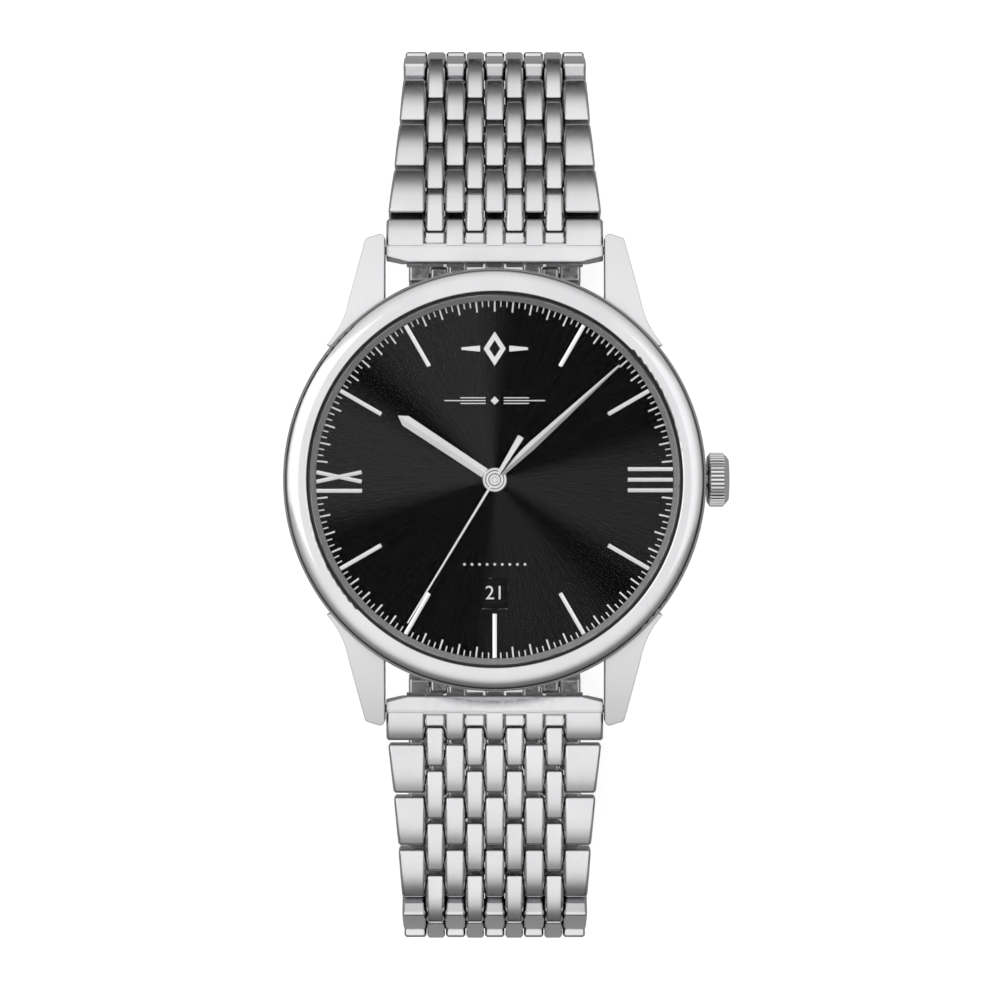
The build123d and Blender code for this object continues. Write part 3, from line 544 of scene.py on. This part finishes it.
def jewels():
    """Ruby bearings let into the bridge and the cock, each with a dished oil sink."""
    bm = bmesh.new()
    for node_name, face in JEWEL_SEATS:
        profile = [
            (0.10 * MM, face + 0.03 * MM),
            (0.52 * MM, face + 0.03 * MM),
            (0.55 * MM, face - 0.02 * MM),
            (0.50 * MM, face - 0.06 * MM),
            (0.32 * MM, face - 0.06 * MM),
            (0.12 * MM, face - 0.01 * MM),
        ]
        lathe(bm, centre_of(node_name), profile, hollow=False)
    bmesh.ops.recalc_face_normals(bm, faces=bm.faces)
    finish_bmesh("bridge_jewels", bm, JEWEL, "case")


def chatons():
    """Gilt rings pressed round the jewels."""
    bm = bmesh.new()
    for node_name, face in JEWEL_SEATS:
        section = [
            (0.57 * MM, face + 0.02 * MM),
            (0.82 * MM, face + 0.02 * MM),
            (0.80 * MM, face - 0.05 * MM),
            (0.60 * MM, face - 0.05 * MM),
        ]
        lathe(bm, centre_of(node_name), section, hollow=True)
    bmesh.ops.recalc_face_normals(bm, faces=bm.faces)
    finish_bmesh("jewel_chatons", bm, GILT, "case")


def screw(bm, centre, radius, face, turn):
    """Add one slotted screw head that stands out of a face towards the case back."""
    shoulder = face - 0.05 * MM
    prism(bm, circle(centre, radius, 32), shoulder, face + 0.02 * MM)
    for side in (0, math.pi):
        start = turn + side + SLOT_HALF_ANGLE
        half = arc(centre, radius, 16, start, math.pi - 2 * SLOT_HALF_ANGLE)
        prism(bm, half, face - 0.12 * MM, shoulder)


def movement_screws():
    """Blued screws that hold the bridge, the cock and the barrel."""
    bm = bmesh.new()
    for i, spot in enumerate(BRIDGE_SCREWS):
        screw(bm, spot, SCREW_R, BRIDGE_FACE, 0.6 + 1.1 * i)
    screw(bm, COCK_SCREW, SCREW_R, COCK_FACE, 0.2)
    screw(bm, centre_of("mainspring_barrel"), BARREL_SCREW_R, BRIDGE_FACE, 0.9)
    bmesh.ops.recalc_face_normals(bm, faces=bm.faces)
    finish_bmesh("movement_screws", bm, BLUED, "case")


def rotor_screws():
    """Three small screws round the rotor's bearing."""
    bm = bmesh.new()
    for i in range(3):
        turn = math.radians(35 + 120 * i)
        spot = (ROTOR_SCREW_CIRCLE * math.cos(turn), ROTOR_SCREW_CIRCLE * math.sin(turn))
        screw(bm, spot, ROTOR_SCREW_R, ROTOR_FACE, turn)
    bmesh.ops.recalc_face_normals(bm, faces=bm.faces)
    finish_bmesh("rotor_screws", bm, BLUED, "rotor")


minute_track()
date_numbers()
dial_ornaments()
jewels()
chatons()
movement_screws()
rotor_screws()


# ------------------------------------------------------------------ floor, light and camera

def floor_material():
    """Pale sheet that glows a little; metal shows it as a painted dark reflection, darker and
    without its glow.
    """
    mat, tree, shader = new_material("floor_sheet")
    painted_reflection_mask = add(tree, "ShaderNodeLightPath").outputs["Is Glossy Ray"]
    # In metal's reflections the floor's colour is painted darker and its glow left out: a
    # painted dark reflection that darkens the metal's edges.
    tone_and_painted_reflection = two_tone(tree, painted_reflection_mask, (0.88, 0.88, 0.88), (0.40, 0.40, 0.40), 0.0, 1.0)
    tree.links.new(tone_and_painted_reflection, shader.inputs["Base Color"])
    glow = two_tone(tree, painted_reflection_mask, (0.55, 0.55, 0.55), (0.0, 0.0, 0.0), 0.0, 1.0)
    tree.links.new(glow, shader.inputs["Emission Color"])
    shader.inputs["Emission Strength"].default_value = 1.0
    grain = noise(tree, object_coords(tree, (40, 40, 40)), 1.0, 4.0)
    tree.links.new(spread(tree, grain, 0.765, 1.0), shader.inputs["Roughness"])
    bump(tree, shader, grain, 0.02, 0.00002)
    return mat


def floor():
    """Plain pale floor that the watch lies on."""
    bm = bmesh.new()
    bmesh.ops.create_grid(bm, x_segments=1, y_segments=1, size=3.0)
    mesh = bpy.data.meshes.new("floor")
    bm.to_mesh(mesh)
    bm.free()
    mesh.materials.append(floor_material())
    plane = bpy.data.objects.new("floor", mesh)
    plane.location.z = FLOOR_Z
    bpy.context.scene.collection.objects.link(plane)


def area_light(name, place, size, power):
    """Square softbox aimed at the watch."""
    data = bpy.data.lights.new(name, "AREA")
    data.shape = "SQUARE"
    data.size = size
    data.energy = power
    lamp = bpy.data.objects.new(name, data)
    lamp.location = place
    lamp.rotation_euler = (-Vector(place)).to_track_quat("-Z", "Y").to_euler()
    bpy.context.scene.collection.objects.link(lamp)


def overhead_ramp(tree, value):
    """Brightness of the room, from the dark horizon to the overhead light."""
    ramp = add(tree, "ShaderNodeValToRGB")
    stops = ramp.color_ramp.elements
    stops[0].position, stops[0].color = HORIZON
    stops[1].position, stops[1].color = ZENITH
    for position, level in BETWEEN:
        stops.new(position).color = (level, level, level, 1)
    tree.links.new(value, ramp.inputs["Fac"])
    return ramp.outputs["Color"]


def studio():
    """Room lit from overhead, a little from 12 o'clock, and two weak softboxes at the sides."""
    world = bpy.data.worlds.new("studio")
    world.use_nodes = True
    tree = world.node_tree
    background = tree.nodes["Background"]
    coords = add(tree, "ShaderNodeTexCoord")
    toward = add(tree, "ShaderNodeVectorMath", operation="DOT_PRODUCT")
    toward.inputs[1].default_value = OVERHEAD
    tree.links.new(coords.outputs["Generated"], toward.inputs[0])
    room = overhead_ramp(tree, toward.outputs["Value"])
    tree.links.new(room, background.inputs["Color"])
    background.inputs["Strength"].default_value = WORLD_STRENGTH
    bpy.context.scene.world = world
    area_light("key", (-0.38, 0.10, 0.50), 0.4, 0.4)
    area_light("fill", (0.38, 0.06, 0.48), 0.4, 0.15)


def camera():
    """Camera straight above the dial, framed as a product picture."""
    data = bpy.data.cameras.new("camera")
    data.sensor_width = SENSOR_WIDTH
    data.lens = SENSOR_WIDTH * CAMERA_HEIGHT / PICTURE_WIDTH
    data.shift_x, data.shift_y = CAMERA_SHIFT
    data.clip_start = 0.01
    data.clip_end = 20.0
    cam = bpy.data.objects.new("camera", data)
    cam.location = (0, 0, BEZEL_TOP + CAMERA_HEIGHT)
    bpy.context.scene.collection.objects.link(cam)
    bpy.context.scene.camera = cam


floor()
studio()
camera()
bpy.context.scene.view_settings.view_transform = "Standard"
